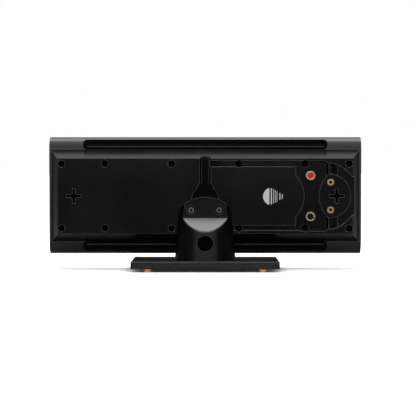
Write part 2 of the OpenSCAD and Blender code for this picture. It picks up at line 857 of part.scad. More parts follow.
module terminal_gasket() {
    y1 = recess_floor_y - groove_skin;
    color([0.1, 0.1, 0.1]) for (s = [-1, 1])
        ring(post_x, s * post_zr, post_washer_r, stud_r + 0.6, y1 - post_washer_t, y1);
}

// Threaded stud with its collar on the terminal plate
module post_stud(s) {
    color([0.8, 0.7, 0.45]) {
        rod(post_x, s * post_zr, stud_r, recess_floor_y - stud_tail, knob_y + knob_seat - 0.4);
        rod(post_x, s * post_zr, knob_d / 2 - 0.8, cup_y, knob_y - cap_clear);
    }
}

// Metal knob with a round pocket for the cap
module post_knob(s) {
    color([0.85, 0.78, 0.6]) turned(post_x, s * post_zr,
        [[stud_r + thread_clear, knob_y], [knob_d / 2 - 0.4, knob_y],
        [knob_d / 2, knob_y + 0.4], [knob_d / 2, knob_y + knob_len - 0.6],
        [knob_d / 2 - 0.6, knob_y + knob_len],
        [cap_r + thread_clear, knob_y + knob_len], [cap_r + thread_clear, knob_y + knob_seat],
        [stud_r + thread_clear, knob_y + knob_seat]]);
}

module post_cap(s) {
    low_y = knob_y + knob_seat + cap_clear;
    color(s > 0 ? [0.66, 0.08, 0.08] : [0.05, 0.05, 0.05]) turned(post_x, s * post_zr,
        [[0, low_y], [cap_r, low_y], [cap_r, knob_y + knob_len - 0.9],
        [cap_r - 0.5, knob_y + knob_len - 0.4], [0, knob_y + knob_len - 0.4]]);
}

module post_nuts() {
    y1 = recess_floor_y - groove_skin - post_washer_t;
    color([0.8, 0.7, 0.45]) for (s = [-1, 1]) difference() {
        translate([post_x, y1 - nut_t, body_zc + s * post_zr])
            rotate([-90, 0, 0]) cylinder(r = 4.2, h = nut_t, $fn = 6);
        rod(post_x, s * post_zr, stud_r + thread_clear, y1 - 4, y1 + 1);
    }
}

// A brass insert with its blind threaded hole
module insert_at(x, zr) {
    difference() {
        rod(x, zr, insert_outer_r, panel_y - insert_len, panel_y);
        rod(x, zr, insert_r, panel_y - insert_len + 1.5, panel_y + 1);
    }
}

module side_inserts() {
    color([0.75, 0.62, 0.35]) for (s = [-1, 1]) insert_at(insert_x, s * insert_pitch / 2);
}

module stand_inserts() {
    color([0.75, 0.62, 0.35]) for (s = [-1, 1]) insert_at(s * insert_pitch / 2, stand_insert_zr);
}

// Outer form of the neck, smaller by its skin all round
module neck_form(skin) {
    r0 = neck_low_r - skin;
    r1 = neck_high_r - skin;
    top = neck_top_z - skin;
    floor_t = skin > 0 ? wall : 0;
    far_y = panel_y + 1.4 * neck_low_r;
    intersection() {
        translate([0, panel_y, base_top])
            cylinder(r1 = r0, r2 = r1 - (r0 - r1) * 0.2, h = (neck_high_z - base_top) * 1.2);
        translate([0, far_y, top - arch_r + skin]) rotate([90, 0, 0]) linear_extrude(far_y) {
            circle(arch_r - skin);
            translate([-arch_r, -2 * arch_r]) square([2 * arch_r, 2 * arch_r]);
        }
        translate([-arch_r, 0, 0]) rotate([90, 0, 90]) linear_extrude(2 * arch_r)
            polygon([[panel_y + skin, base_top + floor_t], [far_y, base_top + floor_t],
                [far_y, neck_step_z - (far_y - neck_back_y) - skin * 1.4],
                [neck_back_y - skin, neck_step_z - skin * 0.4],
                [neck_back_y - skin, top + 1], [panel_y + skin, top + 1]]);
    }
}

module neck_screw_columns(r, y0, y1) {
    for (s = [-1, 1]) translate([s * neck_screw_x, y0, neck_screw_z])
        rotate([-90, 0, 0]) cylinder(r = r, h = y1 - y0);
}

module stand_neck() {
    color([0.07, 0.07, 0.075]) difference() {
        neck_form(0);
        difference() {
            neck_form(neck_wall);
            neck_screw_columns(neck_well_r + 2.2, panel_y, neck_back_y);
            for (s = [-1, 1]) translate([s * base_bolt_x, base_bolt_y, base_top])
                cylinder(r = base_boss_r, h = base_bolt_len + 5);
        }
        translate([-window_half, panel_y - 1, window_low_z])
            cube([2 * window_half, neck_wall + 2, window_high_z - window_low_z]);
        neck_screw_columns(neck_well_r, neck_well_y, neck_back_y + 1);
        neck_screw_columns(insert_r + 0.4, panel_y - 1, neck_well_y + 1);
        translate([0, panel_y + 10, cable_hole_z])
            rotate([-90, 0, 0]) cylinder(r = cable_hole_r, h = 1.4 * neck_low_r);
        for (s = [-1, 1]) translate([s * base_bolt_x, base_bolt_y, base_top - 1])
            cylinder(r = base_bolt_r, h = base_bolt_len + 3);
        plate_seat();
    }
}

// Shallow seat for the silver plate on the slanted face
module plate_seat() {
    translate([0, neck_back_y, neck_step_z]) rotate([45, 0, 0])
        translate([-arch_r, -plate_depth, -neck_step_h]) cube([2 * arch_r, 2 * plate_depth, neck_step_h]);
}

// Half-moon plate that fills the seat on the slanted face
module neck_plate() {
    color([0.72, 0.73, 0.73]) intersection() {
        neck_form(0);
        plate_seat();
    }
}

module neck_screws() {
    len = neck_well_y - panel_y + 8;
    color([0.8, 0.8, 0.8]) for (s = [-1, 1]) translate([s * neck_screw_x, 0, neck_screw_z - body_zc])
        pan_screw(3.8, 3, insert_r - thread_clear, len, neck_well_y, 0);
}

// Plate with a chamfered edge and small round corners
module stand_base() {
    color([0.09, 0.09, 0.1]) difference() {
        intersection() {
            translate([0, 0, foot_h]) linear_extrude(base_t) round_rect(base_w, base_d, base_corner_r);
            translate([-base_w, 0, 0]) rotate([90, 0, 90])
                linear_extrude(2 * base_w) base_edge_section(base_d);
            translate([0, base_d, 0]) rotate([90, 0, 0])
                linear_extrude(2 * base_d) base_edge_section(base_w);
        }
        for (s = [-1, 1]) translate([s * base_bolt_x, base_bolt_y, 0]) {
            cylinder(r = base_bolt_r + 0.3, h = base_top + 1);
            cylinder(r = base_boss_r, h = base_seat_z);
        }
    }
}

module base_edge_section(w) {
    polygon([[-w / 2 + base_edge, foot_h], [w / 2 - base_edge, foot_h], [w / 2, foot_h + base_edge],
        [w / 2, base_top - base_edge], [w / 2 - base_edge, base_top], [-w / 2 + base_edge, base_top],
        [-w / 2, base_top - base_edge], [-w / 2, foot_h + base_edge]]);
}

module base_screws() {
    color([0.7, 0.7, 0.7]) for (s = [-1, 1]) translate([s * base_bolt_x, base_bolt_y, base_seat_z]) {
        cylinder(r = base_bolt_r - thread_clear, h = base_top - base_seat_z + base_bolt_len);
        translate([0, 0, -base_head_t]) cylinder(r = 2 * base_bolt_r, h = base_head_t);
    }
}

module base_feet() {
    color([0.72, 0.42, 0.22]) for (sx = [-1, 1], sy = [-1, 1])
        translate([sx * (base_w / 2 - foot_inset), sy * (base_d / 2 - foot_inset_y), 0])
            cylinder(r = foot_r, h = foot_h);
}

front_cabinet();
rear_cover();
cover_gasket();
cover_screws();
grille_frame();
grille_cloth();
woofer_basket(1);  // left_woofer_basket
woofer_basket(-1);  // right_woofer_basket
woofer_surround(1);  // left_woofer_surround
woofer_surround(-1);  // right_woofer_surround
woofer_cone(1);  // left_woofer_cone
woofer_cone(-1);  // right_woofer_cone
dust_cap(1);  // left_dust_cap
dust_cap(-1);  // right_dust_cap
voice_coil(1);  // left_voice_coil
voice_coil(-1);  // right_voice_coil
spider(1);  // left_spider
spider(-1);  // right_spider
front_plate(1);  // left_front_plate
front_plate(-1);  // right_front_plate
magnet(1);  // left_magnet
magnet(-1);  // right_magnet
pole_plate(1);  // left_pole_plate
pole_plate(-1);  // right_pole_plate
woofer_screws();
tweeter_horn();
tweeter_dome();
tweeter_coil();
tweeter_front_plate();
tweeter_magnet();
tweeter_pole_plate();
tweeter_screws();
crossover_board();
crossover_coils();
crossover_capacitors();
crossover_screws();
damping_pads();
terminal_plate();
terminal_gasket();
post_stud(1);  // red_post_stud
post_knob(1);  // red_post_knob
post_cap(1);  // red_post_cap
post_stud(-1);  // black_post_stud
post_knob(-1);  // black_post_knob
post_cap(-1);  // black_post_cap
post_nuts();
side_inserts();
stand_inserts();
stand_neck();
neck_plate();
neck_screws();
stand_base();
base_screws();
base_feet();
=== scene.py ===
import math

import bmesh
import bpy
from mathutils import Matrix, Vector


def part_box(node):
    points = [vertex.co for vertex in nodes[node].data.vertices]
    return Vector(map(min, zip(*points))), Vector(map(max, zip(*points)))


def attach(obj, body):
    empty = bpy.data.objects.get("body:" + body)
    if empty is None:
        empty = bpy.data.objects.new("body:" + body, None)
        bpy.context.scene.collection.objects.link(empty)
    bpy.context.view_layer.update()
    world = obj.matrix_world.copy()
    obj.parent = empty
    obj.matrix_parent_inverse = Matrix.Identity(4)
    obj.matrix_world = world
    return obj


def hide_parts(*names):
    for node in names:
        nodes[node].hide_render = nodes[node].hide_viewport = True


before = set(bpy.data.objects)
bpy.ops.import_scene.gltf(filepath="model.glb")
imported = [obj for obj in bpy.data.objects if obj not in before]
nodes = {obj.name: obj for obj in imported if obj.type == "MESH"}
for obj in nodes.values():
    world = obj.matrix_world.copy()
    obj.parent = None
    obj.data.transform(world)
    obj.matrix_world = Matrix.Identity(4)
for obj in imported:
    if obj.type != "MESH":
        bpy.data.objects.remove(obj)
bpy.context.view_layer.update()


# Front cabinet: one moulded frame of black plastic with a fine spark-eroded grain.
# It carries the baffle in front and the long slots in its rounded top and bottom bands.
# A thin foam gasket lies between it and the rear cover.
def node_of(tree, kind, **values):
    """A shader node with some of its settings and sockets filled in."""
    made = tree.nodes.new(kind)
    for key, value in values.items():
        if hasattr(made, key):
            setattr(made, key, value)
        else:
            made.inputs[key.replace("_", " ")].default_value = value
    return made


def worked_out(tree, kind, operation, values, result):
    """The result of an arithmetic node that is fed with sockets or plain values."""
    made = node_of(tree, kind, operation=operation)
    for socket, value in zip(made.inputs, values):
        if isinstance(value, bpy.types.NodeSocket):
            tree.links.new(value, socket)
        else:
            socket.default_value = value
    return made.outputs[result]


def number_from(tree, operation, *values):
    """A number worked out from numbers."""
    return worked_out(tree, "ShaderNodeMath", operation, values, "Value")


def vector_from(tree, operation, *values):
    """A vector worked out from vectors; a length or a dot product is a number."""
    result = "Value" if operation in ("LENGTH", "DOT_PRODUCT") else "Vector"
    return worked_out(tree, "ShaderNodeVectorMath", operation, values, result)


def ranged(tree, value, start, end, low=0.0, high=1.0, kind="LINEAR"):
    """A number carried from one range to another, and held at its ends."""
    made = node_of(tree, "ShaderNodeMapRange", interpolation_type=kind,
                   From_Min=start, From_Max=end, To_Min=low, To_Max=high)
    tree.links.new(value, made.inputs["Value"])
    return made.outputs["Result"]


def shader_of(made):
    """A material's Principled shader."""
    return made.node_tree.nodes["Principled BSDF"]


def place_in(tree):
    """The place on the piece, from the tree's one coordinate node."""
    where = tree.nodes.get("Texture Coordinate") or node_of(tree, "ShaderNodeTexCoord")
    return where.outputs["Object"]


def finish(name, colour, roughness, level=0.5, metallic=0.0):
    """A material with its plain numbers on the shader's own sockets."""
    made = bpy.data.materials.new(name)
    made.use_nodes = True
    shader = shader_of(made)
    shader.inputs["Base Color"].default_value = (*colour, 1.0)
    shader.inputs["Roughness"].default_value = roughness
    shader.inputs["Specular IOR Level"].default_value = level
    shader.inputs["Metallic"].default_value = metallic
    return made


def place_noise(made, scale, detail=4.0, stretch=(1.0, 1.0, 1.0)):
    """Noise that is fixed to the piece, with its pattern longer along some axes."""
    tree = made.node_tree
    mapping = node_of(tree, "ShaderNodeMapping", Scale=stretch)
    noise = node_of(tree, "ShaderNodeTexNoise", Scale=scale, Detail=detail)
    tree.links.new(place_in(tree), mapping.inputs["Vector"])
    tree.links.new(mapping.outputs["Vector"], noise.inputs["Vector"])
    return noise.outputs["Fac"]


def vary(made, socket, noise, low, high, usual=(0.3, 0.7)):
    """Lets a shader number move between two values over the noise's usual range."""
    spread = ranged(made.node_tree, noise, *usual, low, high)
    made.node_tree.links.new(spread, shader_of(made).inputs[socket])


def tint(made, noise, dark, light, usual=(0.32, 0.68)):
    """Lets the colour move between two tones over the noise's usual range."""
    tree = made.node_tree
    ramp = node_of(tree, "ShaderNodeValToRGB")
    for element, position, colour in zip(ramp.color_ramp.elements, usual, (dark, light)):
        element.position = position
        element.color = (*colour, 1.0)
    tree.links.new(noise, ramp.inputs["Fac"])
    tree.links.new(ramp.outputs["Color"], shader_of(made).inputs["Base Color"])


def grain(made, height, strength, distance, edge_radius=0.0):
    """Bump from a height, over edges that the mould has rounded where a radius is given."""
    tree = made.node_tree
    bump = node_of(tree, "ShaderNodeBump", Strength=strength, Distance=distance)
    if edge_radius:
        corner = node_of(tree, "ShaderNodeBevel", samples=6, Radius=edge_radius)
        tree.links.new(corner.outputs["Normal"], bump.inputs["Normal"])
    tree.links.new(height, bump.inputs["Height"])
    tree.links.new(bump.outputs["Normal"], shader_of(made).inputs["Normal"])


def moulded(name, colour, roughness, level, grain_scale, grain_depth, edge_radius=0.0006):
    """Moulded plastic: faint flow marks in the gloss and a fine skin grain."""
    flow_scale, smoother, rougher = 14.0, 0.04, 0.05
    darker, lighter = 0.88, 1.12
    grain_strength = 0.35
    made = finish(name, colour, roughness, level)
    flow = place_noise(made, flow_scale, detail=3.0)
    vary(made, "Roughness", flow, roughness - smoother, roughness + rougher)
    tint(made, flow, tuple(c * darker for c in colour), tuple(c * lighter for c in colour))
    skin = place_noise(made, grain_scale, detail=2.0)
    grain(made, skin, grain_strength, grain_depth, edge_radius)
    return made


def dress(name, material):
    """Gives a node its material in every slot."""
    piece = nodes[name]
    if not piece.material_slots:
        piece.data.materials.append(material)
    for place in piece.material_slots:
        place.material = material


def joined(tree, operation, first, second):
    """The second number, or both put together where there is a first."""
    return second if first is None else number_from(tree, operation, first, second)


def spread_from(tree, place, middle):
    """How far a place lies from a middle along each axis, whichever side it is on."""
    return vector_from(tree, "ABSOLUTE", vector_from(tree, "SUBTRACT", place, middle))


def box_mask(made, boxes, mirrored=None):
    """One inside any of some boxes, each given by its middle and half size, else nought.

    Boxes that repeat on both sides of a middle are given once, from that middle.
    """
    tree = made.node_tree
    place = place_in(tree)
    if mirrored:
        place = spread_from(tree, place, mirrored)
    total = None
    for middle, half in boxes:
        parts = node_of(tree, "ShaderNodeSeparateXYZ")
        tree.links.new(spread_from(tree, place, middle), parts.inputs["Vector"])
        inside = None
        for axis, reach in zip("XYZ", half):
            below = number_from(tree, "LESS_THAN", parts.outputs[axis], reach)
            inside = joined(tree, "MINIMUM", inside, below)
        total = joined(tree, "MAXIMUM", total, inside)
    return total


def mix_in(made, mask, socket, value):
    """Mixes a plain value over what a shader socket has, where the mask is one."""
    tree = made.node_tree
    target = shader_of(made).inputs[socket]
    colour = target.type == "RGBA"
    mix = node_of(tree, "ShaderNodeMix", data_type="RGBA" if colour else "FLOAT")
    below, above = [item for item in mix.inputs if item.type == target.type][-2:]
    if target.links:
        tree.links.new(target.links[0].from_socket, below)
    else:
        below.default_value = target.default_value
    above.default_value = (*value, 1.0) if colour else value
    tree.links.new(mask, mix.inputs["Factor"])
    tree.links.new(next(item for item in mix.outputs if item.type == target.type), target)


def paint_edge_highlights(made, radius, colour):
    """Painted highlight: a lighter colour on mould edges, where the rounded normal leaves the
    flat one.
    """
    flat_match, round_match = 0.99, 0.82
    tree = made.node_tree
    corner = node_of(tree, "ShaderNodeBevel", samples=8, Radius=radius)
    face = node_of(tree, "ShaderNodeNewGeometry")
    match = vector_from(tree, "DOT_PRODUCT", corner.outputs["Normal"],
                        face.outputs["True Normal"])
    mix_in(made, ranged(tree, match, flat_match, round_match), "Base Color", colour)


def paint_deep_shade(made, boxes, mirrored=None, colour=(0.0006, 0.0006, 0.0006), level=0.06):
    """Painted shade: a near-black colour and a low specular level on the surfaces deep inside a
    moulding, within the given boxes.
    """
    mask = box_mask(made, boxes, mirrored)
    mix_in(made, mask, "Base Color", colour)
    mix_in(made, mask, "Specular IOR Level", level)


cabinet_plastic = moulded("cabinet_plastic", (0.0095, 0.0095, 0.0098), roughness=0.36,
                          level=0.6, grain_scale=2600.0, grain_depth=0.00004)
body_z = 0.1015
body_middle = (0.0, 0.0, body_z)
# Painted shade: inside the top and bottom slots and behind their rail, the cabinet is near black
# with a low specular level.
slot_room = ((0.0, 0.0325, 0.0703), (0.1688, 0.0052, 0.0069))
slot_rail = ((0.0, 0.0308, 0.0706), (0.1688, 0.0070, 0.0023))
paint_deep_shade(cabinet_plastic, [slot_room, slot_rail], mirrored=body_middle)
# Painted highlight: a lighter colour along the cabinet's moulded edges.
paint_edge_highlights(cabinet_plastic, radius=0.0005, colour=(0.028, 0.028, 0.028))
dress("front_cabinet", cabinet_plastic)
gasket_foam = moulded("gasket_foam", (0.01, 0.01, 0.01), roughness=0.85, level=0.2,
                      grain_scale=1500.0, grain_depth=0.0002)
dress("cover_gasket", gasket_foam)


# Grille: a ribbed frame of black plastic, pressed into the front of the cabinet.
# A tight black knit is stretched over it and glued round its edge.
dress("grille_frame", moulded("grille_plastic", (0.012, 0.012, 0.012), roughness=0.5,
                              level=0.4, grain_scale=2200.0, grain_depth=0.00004))


def knit(name, colour, pitch):
    """Tight knit: rows of loops crossed by columns, read from the piece's own UV map."""
    valley, ridge = 0.35, 1.5
    slack, taut = 0.75, 1.3
    made = finish(name, colour, 0.9, 0.15)
    tree = made.node_tree
    shader = shader_of(made)
    where = node_of(tree, "ShaderNodeUVMap", uv_map="cloth").outputs["UV"]
    scale = math.tau / 20.0 / pitch
    rows = node_of(tree, "ShaderNodeTexWave", bands_direction="X", Scale=scale, Distortion=0.0)
    columns = node_of(tree, "ShaderNodeTexWave", bands_direction="Y", Scale=scale, Distortion=0.0)
    stretch = node_of(tree, "ShaderNodeTexNoise", Scale=9.0, Detail=3.0)
    for pattern in (rows, columns, stretch):
        tree.links.new(where, pattern.inputs["Vector"])
    weave = number_from(tree, "MULTIPLY", rows.outputs["Fac"], columns.outputs["Fac"])
    shade = node_of(tree, "ShaderNodeValToRGB")
    shade.color_ramp.elements[0].color = (*(c * valley for c in colour), 1.0)
    shade.color_ramp.elements[1].color = (*(c * ridge for c in colour), 1.0)
    tree.links.new(weave, shade.inputs["Fac"])
    worn = node_of(tree, "ShaderNodeVectorMath", operation="SCALE")
    tree.links.new(shade.outputs["Color"], worn.inputs[0])
    tree.links.new(ranged(tree, stretch.outputs["Fac"], 0.0, 1.0, slack, taut),
                   worn.inputs["Scale"])
    tree.links.new(worn.outputs["Vector"], shader.inputs["Base Color"])
    shader.inputs["Sheen Weight"].default_value = 0.12
    shader.inputs["Sheen Roughness"].default_value = 0.4
    grain(made, weave, strength=0.6, distance=0.0003)
    return made


def placed(name, mesh, material):
    """An object at the origin with a finished mesh and its material."""
    data = bpy.data.meshes.new(name)
    mesh.to_mesh(data)
    mesh.free()
    data.materials.append(material)
    made = bpy.data.objects.new(name, data)
    bpy.context.scene.collection.objects.link(made)
    return made


def stretched_cloth():
    """Sheet over the front of the frame, with rounded sides turned back over its edge."""
    thickness, fold_radius, fold_angle = 0.0003, 0.0012, 0.7
    low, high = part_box("grille_cloth")
    wide, deep, tall = high[0] - low[0], high[1] - low[1], high[2] - low[2]
    mesh = bmesh.new()
    bmesh.ops.create_grid(mesh, x_segments=60, y_segments=22, size=0.5)
    bmesh.ops.scale(mesh, vec=Vector((wide, tall, 1.0)), verts=mesh.verts)
    rim = [edge for edge in mesh.edges if edge.is_boundary]
    turned = bmesh.ops.extrude_edge_only(mesh, edges=rim)["geom"]
    side = [item for item in turned if isinstance(item, bmesh.types.BMVert)]
    bmesh.ops.translate(mesh, vec=Vector((0, 0, -(deep - thickness))), verts=side)
    folds = [edge for edge in mesh.edges
             if not edge.is_boundary and edge.calc_face_angle(0.0) > fold_angle]
    bmesh.ops.bevel(mesh, geom=folds, offset=fold_radius, segments=4, profile=0.5,
                    affect="EDGES", material=-1)
    uv = mesh.loops.layers.uv.new("cloth")
    for face in mesh.faces:
        for loop in face.loops:
            loop[uv].uv = (loop.vert.co.x, loop.vert.co.y)
        face.smooth = True
    bmesh.ops.rotate(mesh, verts=mesh.verts, cent=(0, 0, 0),
                     matrix=Matrix.Rotation(math.radians(90), 3, "X"))
    centre = Vector(((low[0] + high[0]) / 2, low[1], (low[2] + high[2]) / 2))
    bmesh.ops.translate(mesh, vec=centre, verts=mesh.verts)
    sheet = placed("grille_sheet", mesh,
                   knit("black_knit", (0.014, 0.014, 0.0145), pitch=0.0009))
    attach(sheet, "speaker")
    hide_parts("grille_cloth")


stretched_cloth()


# Woofers: a painted steel basket with a coated paper cone on a rubber surround.
# Behind the cone are the spider, the copper coil, and a ferrite magnet between
# zinc-plated plates. Screws through the basket hold each one to the baffle.
def ringed(made, scale, strength, distance):
    """Fine turned rings or windings across the axis that runs front to back."""
    tree = made.node_tree
    wave = node_of(tree, "ShaderNodeTexWave", bands_direction="Y", Scale=scale,
                   Distortion=1.5, Detail=2.0)
    tree.links.new(place_in(tree), wave.inputs["Vector"])
    grain(made, wave.outputs["Fac"], strength, distance)


basket_paint = moulded("basket_paint", (0.03, 0.03, 0.032), roughness=0.45, level=0.5,
                       grain_scale=900.0, grain_depth=0.00005)
rubber = moulded("surround_rubber", (0.012, 0.012, 0.012), roughness=0.6, level=0.4,
                 grain_scale=1400.0, grain_depth=0.00003)
paper = moulded("cone_paper", (0.03, 0.03, 0.033), roughness=0.75, level=0.35,
                grain_scale=420.0, grain_depth=0.00025)
cap_paper = moulded("dust_cap_paper", (0.022, 0.022, 0.024), roughness=0.5, level=0.45,
                    grain_scale=500.0, grain_depth=0.0001)
spider_cloth = moulded("spider_cloth", (0.62, 0.43, 0.14), roughness=0.85, level=0.2,
                       grain_scale=1100.0, grain_depth=0.0004)
ferrite = moulded("ferrite", (0.05, 0.05, 0.055), roughness=0.55, level=0.6,
                  grain_scale=300.0, grain_depth=0.0001)
copper = finish("copper_wire", (0.72, 0.36, 0.17), 0.28, metallic=1.0)
ringed(copper, scale=900.0, strength=0.8, distance=0.0002)
zinc = finish("zinc_plate", (0.6, 0.59, 0.55), 0.34, metallic=1.0)
tint(zinc, place_noise(zinc, 60.0), dark=(0.5, 0.49, 0.44), light=(0.66, 0.65, 0.6))
dark_steel = finish("black_oxide", (0.02, 0.02, 0.021), 0.42, metallic=0.6)
vary(dark_steel, "Roughness", place_noise(dark_steel, 260.0), 0.3, 0.5)

for side in ("left", "right"):
    dress(f"{side}_woofer_basket", basket_paint)
    dress(f"{side}_woofer_surround", rubber)
    dress(f"{side}_woofer_cone", paper)
    dress(f"{side}_dust_cap", cap_paper)
    dress(f"{side}_voice_coil", copper)
    dress(f"{side}_spider", spider_cloth)
    dress(f"{side}_front_plate", zinc)
    dress(f"{side}_magnet", ferrite)
    dress(f"{side}_pole_plate", zinc)
dress("woofer_screws", dark_steel)


# Tweeter: a small horn plate of black plastic in front of a drawn aluminium dome.
# It is screwed to the back of the baffle between the woofers.
dress("tweeter_horn", moulded("horn_plastic", (0.012, 0.012, 0.012), roughness=0.4,
                              level=0.45, grain_scale=1800.0, grain_depth=0.00004))
dome = finish("dome_aluminium", (0.72, 0.73, 0.75), 0.25, metallic=1.0)
vary(dome, "Roughness", place_noise(dome, 180.0), 0.2, 0.32)
dress("tweeter_dome", dome)
dress("tweeter_coil", copper)
dress("tweeter_front_plate", zinc)
dress("tweeter_magnet", ferrite)
dress("tweeter_pole_plate", zinc)
dress("tweeter_screws", dark_steel)


# Crossover: a green lacquered board, screwed to four posts in the cover.
# It carries two copper coils and three wrapped film capacitors.
dress("crossover_board", moulded("board_lacquer", (0.02, 0.16, 0.06), roughness=0.3,
                                 level=0.5, grain_scale=160.0, grain_depth=0.00005))
dress("crossover_coils", copper)
dress("crossover_capacitors", moulded("capacitor_wrap", (0.03, 0.06, 0.3), roughness=0.25,
                                      level=0.5, grain_scale=90.0, grain_depth=0.00002))
bright_steel = finish("plated_steel", (0.62, 0.62, 0.6), 0.24, metallic=1.0)
vary(bright_steel, "Roughness", place_noise(bright_steel, 300.0), 0.18, 0.34)
dress("crossover_screws", bright_steel)


# Wadding: two strips of white polyester behind one woofer, pressed in by hand.
# They are soft and round-edged, and lie against the inside of the cover.
def wadding_strips():
    """Two crowned strips, one along the top and one along the bottom of their room."""
    strip_height, cuts, softness = 0.009, 5, 2
    low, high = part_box("damping_pads")
    size = Vector((high[0] - low[0], high[1] - low[1], strip_height))
    mesh = bmesh.new()
    for z in (low[2] + strip_height / 2, high[2] - strip_height / 2):
        middle = Vector(((low[0] + high[0]) / 2, (low[1] + high[1]) / 2, z))
        made = bmesh.ops.create_cube(mesh, size=1.0)["verts"]
        bmesh.ops.scale(mesh, vec=size, verts=made)
        bmesh.ops.translate(mesh, vec=middle, verts=made)
    bmesh.ops.subdivide_edges(mesh, edges=mesh.edges[:], cuts=cuts, use_grid_fill=True)
    fibre = moulded("wadding_fibre", (0.78, 0.78, 0.75), roughness=0.95, level=0.1,
                    grain_scale=380.0, grain_depth=0.0015)
    strips = placed("wadding", mesh, fibre)
    soft = strips.modifiers.new("soft", "SUBSURF")
    soft.levels = softness
    soft.render_levels = softness
    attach(strips, "speaker")
    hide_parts("damping_pads")


wadding_strips()


# Terminal plate: an hourglass insert of black plastic on the floor of the recess.
# A foam gasket seals it where the studs go through.
terminal_plastic = moulded("terminal_plastic", (0.0014, 0.0014, 0.0016), roughness=0.3,
                           level=0.14, grain_scale=2200.0, grain_depth=0.00003)
# Painted highlight: a lighter colour along the terminal plate's edges.
paint_edge_highlights(terminal_plastic, radius=0.0006, colour=(0.14, 0.14, 0.14))
dress("terminal_plate", terminal_plastic)
dress("terminal_gasket", gasket_foam)


# Binding posts: gold-plated brass studs with knobs of pale gold that unscrew.
# A red or black plastic plug closes each knob, and a nut inside holds each stud.
gold = finish("post_gold", (0.72, 0.56, 0.3), 0.26, metallic=1.0)
vary(gold, "Roughness", place_noise(gold, 420.0), 0.2, 0.34)
pale_gold = finish("knob_gold", (0.78, 0.7, 0.52), 0.3, metallic=1.0)
vary(pale_gold, "Roughness", place_noise(pale_gold, 420.0), 0.22, 0.38)
plugs = {"red": (0.45, 0.006, 0.005), "black": (0.0016, 0.0016, 0.0016)}


def fluted_knob(colour):
    """A turned knob with fine flutes round it, bored for the stud and for its plug."""
    stud_bore, plug_bore, seat = 0.00205, 0.00465, 0.0058
    flutes, steps_each = 30, 8
    flute_depth, chamfer = 0.00035, 0.0006
    slack, skin = 1e-6, 1e-5
    node = f"{colour}_post_knob"
    low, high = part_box(node)
    outer = (high[0] - low[0]) / 2
    length = high[1] - low[1]
    profile = ((stud_bore, 0.0), (outer - chamfer, 0.0),
               (outer, chamfer), (outer, length - chamfer),
               (outer - chamfer, length), (plug_bore, length),
               (plug_bore, seat), (stud_bore, seat))
    mesh = bmesh.new()
    corners = [mesh.verts.new((radius, along, 0.0)) for radius, along in profile]
    rim = [mesh.edges.new(pair) for pair in zip(corners, corners[1:] + corners[:1])]
    bmesh.ops.spin(mesh, geom=corners + rim, cent=(0, 0, 0), axis=(0, 1, 0), angle=math.tau,
                   steps=flutes * steps_each, use_merge=True)
    for vert in mesh.verts:
        radius = math.hypot(vert.co.x, vert.co.z)
        on_side = chamfer - slack < vert.co.y < length - chamfer + slack
        if on_side and radius > outer - skin:
            wave = abs(math.cos(math.atan2(vert.co.z, vert.co.x) * flutes / 2))
            shrink = 1.0 - flute_depth * (1.0 - wave) / radius
            vert.co.x *= shrink
            vert.co.z *= shrink
    bmesh.ops.recalc_face_normals(mesh, faces=mesh.faces)
    centre = Vector(((low[0] + high[0]) / 2, low[1], (low[2] + high[2]) / 2))
    bmesh.ops.translate(mesh, vec=centre, verts=mesh.verts)
    knob = placed(f"{colour}_fluted_knob", mesh, pale_gold)
    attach(knob, f"{colour}_knob")
    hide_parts(node)


for colour, tone in plugs.items():
    dress(f"{colour}_post_stud", gold)
    fluted_knob(colour)
    dress(f"{colour}_post_cap", moulded(f"{colour}_plug", tone, roughness=0.35, level=0.2,
                                        grain_scale=700.0, grain_depth=0.00002))
dress("post_nuts", gold)


# Rear cover: the main moulding, satin black with a finer skin than the cabinet's.
# Its edges are slightly rounded by the mould and carry a painted highlight, and a plain print
# marks the label field.
# Black screws sit deep in its wells, and brass inserts are pressed into its bosses.
cover_plastic = moulded("cover_plastic", (0.0018, 0.0018, 0.002), roughness=0.22, level=0.2,
                        grain_scale=3200.0, grain_depth=0.00002, edge_radius=0.0011)
panel_y = 0.017
# Painted shade: near black with a low specular level inside the cover, in the upper groove, in
# the keyhole rooms and in the screw wells.
inner_walls = ((0.0, -0.02, body_z), (0.2015, 0.02, 0.0515))
upper_groove = ((0.0, 0.0, 0.122), (0.02, 0.0125, 0.0312))
# Painted shadow: a dark patch on the panel just behind the neck.
neck_shadow = ((0.0, panel_y, 0.043), (0.028, 0.001, 0.012))
paint_deep_shade(cover_plastic, [inner_walls, upper_groove, neck_shadow], level=0.09)
keyhole_room = ((0.1792, 0.0, 0.0), (0.012, 0.0135, 0.012))
well_height, well_half = 0.044, (0.0052, 0.0167, 0.0052)
screw_wells = [((x, 0.0, well_height), well_half) for x in (0.046, 0.137, 0.196)]
paint_deep_shade(cover_plastic, [keyhole_room] + screw_wells, mirrored=body_middle)
# Painted highlight: a lighter colour along the cover's moulded edges.
paint_edge_highlights(cover_plastic, radius=0.0007, colour=(0.2, 0.2, 0.2))


def round_mask(made, middle, radius):
    """One within a radius of an axis that runs front to back, and nought outside."""
    tree = made.node_tree
    shifted = vector_from(tree, "SUBTRACT", place_in(tree), middle)
    flat = vector_from(tree, "MULTIPLY", shifted, (1.0, 0.0, 1.0))
    return number_from(tree, "LESS_THAN", vector_from(tree, "LENGTH", flat), radius)


def printed_field(made, centre, radius, flat_x, bars, tone):
    """A plain pad print: a round field cut off along one side, and bars beside it."""
    reach = 0.0003
    tree = made.node_tree
    side = box_mask(made, [((flat_x + radius, centre[1], centre[2]), (radius, reach, radius))])
    field = joined(tree, "MINIMUM", round_mask(made, centre, radius), side)
    strokes = [((x, centre[1], centre[2]), (width / 2, reach, length / 2))
               for x, width, length in bars]
    mix_in(made, joined(tree, "MAXIMUM", field, box_mask(made, strokes)), "Base Color", tone)


